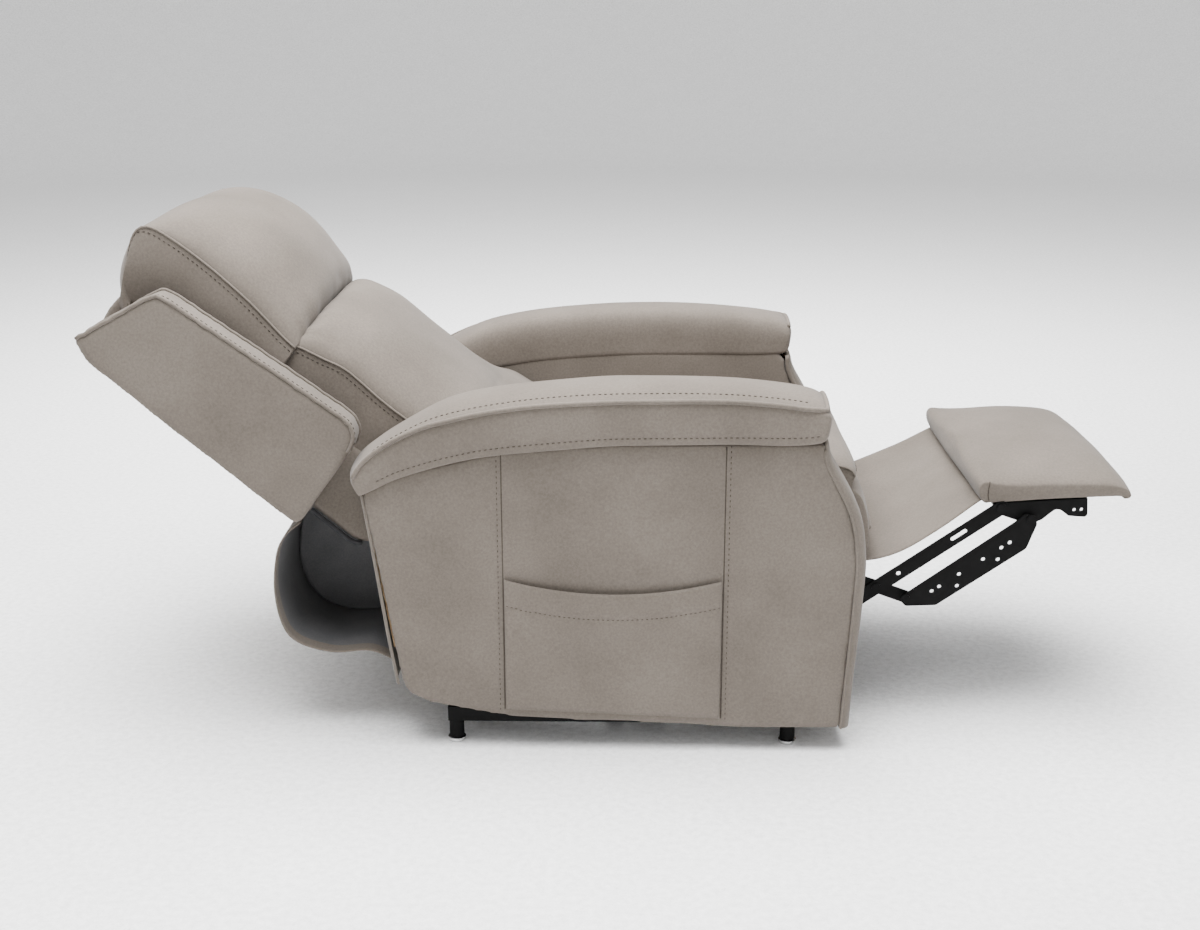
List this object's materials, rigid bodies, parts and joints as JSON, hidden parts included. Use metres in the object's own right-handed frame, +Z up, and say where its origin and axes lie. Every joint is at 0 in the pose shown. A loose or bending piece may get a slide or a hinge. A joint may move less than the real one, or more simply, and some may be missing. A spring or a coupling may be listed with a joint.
{
  "type": "lift recliner chair",
  "caption": "Upholstered powered lift recliner chair: reclining winged back, padded arms with side pockets, fold-out footrest, and a base frame that lifts and tilts the seat.",
  "frame": {"origin": "middle of the bounding box, on the floor, with the back reclined, the footrest out and the lift down", "axes": "+X the way the sitter faces, +Y the sitter's left, +Z up"},
  "size_m": [1.7378, 0.8, 0.8784],
  "materials": {
    "suede_fabric": "matte",
    "cover_lining": "matte",
    "black_steel": "satin",
    "bright_steel": "satin",
    "spring_steel": "satin",
    "black_plastic": "matte",
    "plywood": "matte"
  },
  "bodies": {
    "base": {"base_rail_left": "black_steel", "base_rail_right": "black_steel", "base_cross_tubes": "black_steel", "levelling_glides": "bright_steel", "base_pivot_bolts": "bright_steel", "control_box": "black_plastic", "power_inlet": "black_plastic"},
    "lift_arms": {"lift_arm_left": "black_steel", "lift_arm_right": "black_steel", "lift_torque_tube": "black_steel"},
    "guide_link_pair": {"guide_links": "black_steel"},
    "lift_actuator": {"lift_actuator_body": "black_plastic"},
    "lift_rod": {"lift_actuator_rod": "bright_steel"},
    "chassis": {"chassis_rail_left": "black_steel", "chassis_rail_right": "black_steel", "chassis_cross_tubes": "black_steel", "mechanism_plate_left": "black_steel", "mechanism_plate_right": "black_steel", "chassis_pins": "bright_steel", "seat_box": "plywood", "seat_springs": "spring_steel", "seat_cushion": "suede_fabric", "rear_tack_rail": "plywood", "arm_frame_left": "plywood", "arm_frame_right": "plywood", "arm_inner_panel_left": "suede_fabric", "arm_inner_panel_right": "suede_fabric", "arm_side_panel_left": "suede_fabric", "arm_side_panel_right": "suede_fabric", "arm_front_panel_left": "suede_fabric", "arm_front_panel_right": "suede_fabric", "arm_cap_left": "suede_fabric", "arm_cap_right": "suede_fabric", "side_pocket_left": "suede_fabric", "side_pocket_right": "suede_fabric", "leg_flap": "suede_fabric", "rear_cover": "cover_lining"},
    "backrest": {"back_frame": "plywood", "back_hinge_plates": "black_steel", "back_torque_tube": "black_steel", "outside_back_panel": "suede_fabric", "back_wing_left": "suede_fabric", "back_wing_right": "suede_fabric", "head_cushion": "suede_fabric", "lumbar_cushion": "suede_fabric"},
    "back_actuator": {"back_actuator_body": "black_plastic"},
    "back_rod": {"back_actuator_rod": "bright_steel"},
    "footrest_actuator": {"footrest_actuator_body": "black_plastic"},
    "footrest_rod": {"footrest_actuator_rod": "bright_steel"},
    "front_arm_pair": {"front_arm_left": "black_steel", "front_arm_right": "black_steel", "footrest_torque_tube": "black_steel", "front_arm_rivets": "bright_steel"},
    "control_link_pair": {"control_links": "black_steel"},
    "upper_link_pair": {"upper_link_left": "black_steel", "upper_link_right": "black_steel"},
    "lower_link_pair": {"lower_links": "black_steel"},
    "footrest": {"footrest_brackets": "black_steel", "footrest_board": "plywood", "footrest_pad": "suede_fabric"}
  },
  "joints": [
    {"name": "lift", "type": "hinge", "parent": "base", "child": "lift_arms", "pos_m": [0.225, 0, 0.105], "axis": [0, 1, 0], "range_deg": [0, 50]},
    {"name": "lift_guide", "type": "hinge", "parent": "base", "child": "guide_link_pair", "pos_m": [0.235, 0, 0.13], "axis": [0, 1, 0], "range_deg": [0, 50.56]},
    {"name": "chassis_tilt", "type": "hinge", "parent": "lift_arms", "child": "chassis", "pos_m": [-0.215, 0, 0.105], "axis": [0, 1, 0], "range_deg": [-26.3, 0]},
    {"name": "lift_actuator_swing", "type": "hinge", "parent": "lift_arms", "child": "lift_actuator", "pos_m": [0.11, 0, 0.085], "axis": [0, 1, 0], "range_deg": [-3.02, 0]},
    {"name": "lift_rod_slide", "type": "slide", "parent": "lift_actuator", "child": "lift_rod", "axis": [-0.9376, 0, 0.3478], "range_m": [0, 0.0411]},
    {"name": "recline", "type": "hinge", "parent": "chassis", "child": "backrest", "pos_m": [-0.181, 0, 0.33], "axis": [0, 1, 0], "range_deg": [0, 42], "deforming": ["rear_cover"]},
    {"name": "back_actuator_swing", "type": "hinge", "parent": "chassis", "child": "back_actuator", "pos_m": [0.1, 0, 0.225], "axis": [0, 1, 0], "range_deg": [-2.26, 0]},
    {"name": "back_rod_slide", "type": "slide", "parent": "back_actuator", "child": "back_rod", "axis": [-0.9932, 0, 0.1168], "range_m": [0, 0.057]},
    {"name": "footrest_fold", "type": "hinge", "parent": "chassis", "child": "front_arm_pair", "pos_m": [0.23271, 0, 0.31989], "axis": [0, 1, 0], "range_deg": [0, 94], "deforming": ["leg_flap"]},
    {"name": "control_link_swing", "type": "hinge", "parent": "chassis", "child": "control_link_pair", "pos_m": [0.19601, 0, 0.29385], "axis": [0, 1, 0], "range_deg": [0, 94.5]},
    {"name": "upper_link_swing", "type": "hinge", "parent": "front_arm_pair", "child": "upper_link_pair", "pos_m": [0.455, 0, 0.243], "axis": [0, 1, 0], "range_deg": [-94.5, 0]},
    {"name": "lower_link_swing", "type": "hinge", "parent": "front_arm_pair", "child": "lower_link_pair", "pos_m": [0.505, 0, 0.225], "axis": [0, 1, 0], "range_deg": [-94.5, 0]},
    {"name": "footrest_tilt", "type": "hinge", "parent": "upper_link_pair", "child": "footrest", "pos_m": [0.658, 0, 0.387], "axis": [0, 1, 0], "range_deg": [0, 94.5]},
    {"name": "footrest_actuator_swing", "type": "hinge", "parent": "chassis", "child": "footrest_actuator", "pos_m": [-0.215, 0, 0.16], "axis": [0, 1, 0], "range_deg": [-1.44, 0]},
    {"name": "footrest_rod_slide", "type": "slide", "parent": "footrest_actuator", "child": "footrest_rod", "axis": [0.9681, 0, 0.2505], "range_m": [-0.0744, 0]}
  ],
  "couplings": [
    {"joint": "lift_guide", "follows": "lift", "ratio": 1.0052},
    {"joint": "chassis_tilt", "follows": "lift", "ratio": -0.52},
    {"joint": "lift_actuator_swing", "follows": "lift", "ratio": -0.0504},
    {"joint": "lift_rod_slide", "follows": "lift", "m_per_rad": 0.04655},
    {"joint": "back_actuator_swing", "follows": "recline", "ratio": -0.0419},
    {"joint": "back_rod_slide", "follows": "recline", "m_per_rad": 0.07708},
    {"joint": "control_link_swing", "follows": "footrest_fold", "ratio": 1},
    {"joint": "upper_link_swing", "follows": "footrest_fold", "ratio": -1},
    {"joint": "lower_link_swing", "follows": "footrest_fold", "ratio": -1},
    {"joint": "footrest_tilt", "follows": "footrest_fold", "ratio": 1},
    {"joint": "footrest_actuator_swing", "follows": "footrest_fold", "ratio": -0.01},
    {"joint": "footrest_rod_slide", "follows": "footrest_fold", "m_per_rad": -0.04506}
  ]
}
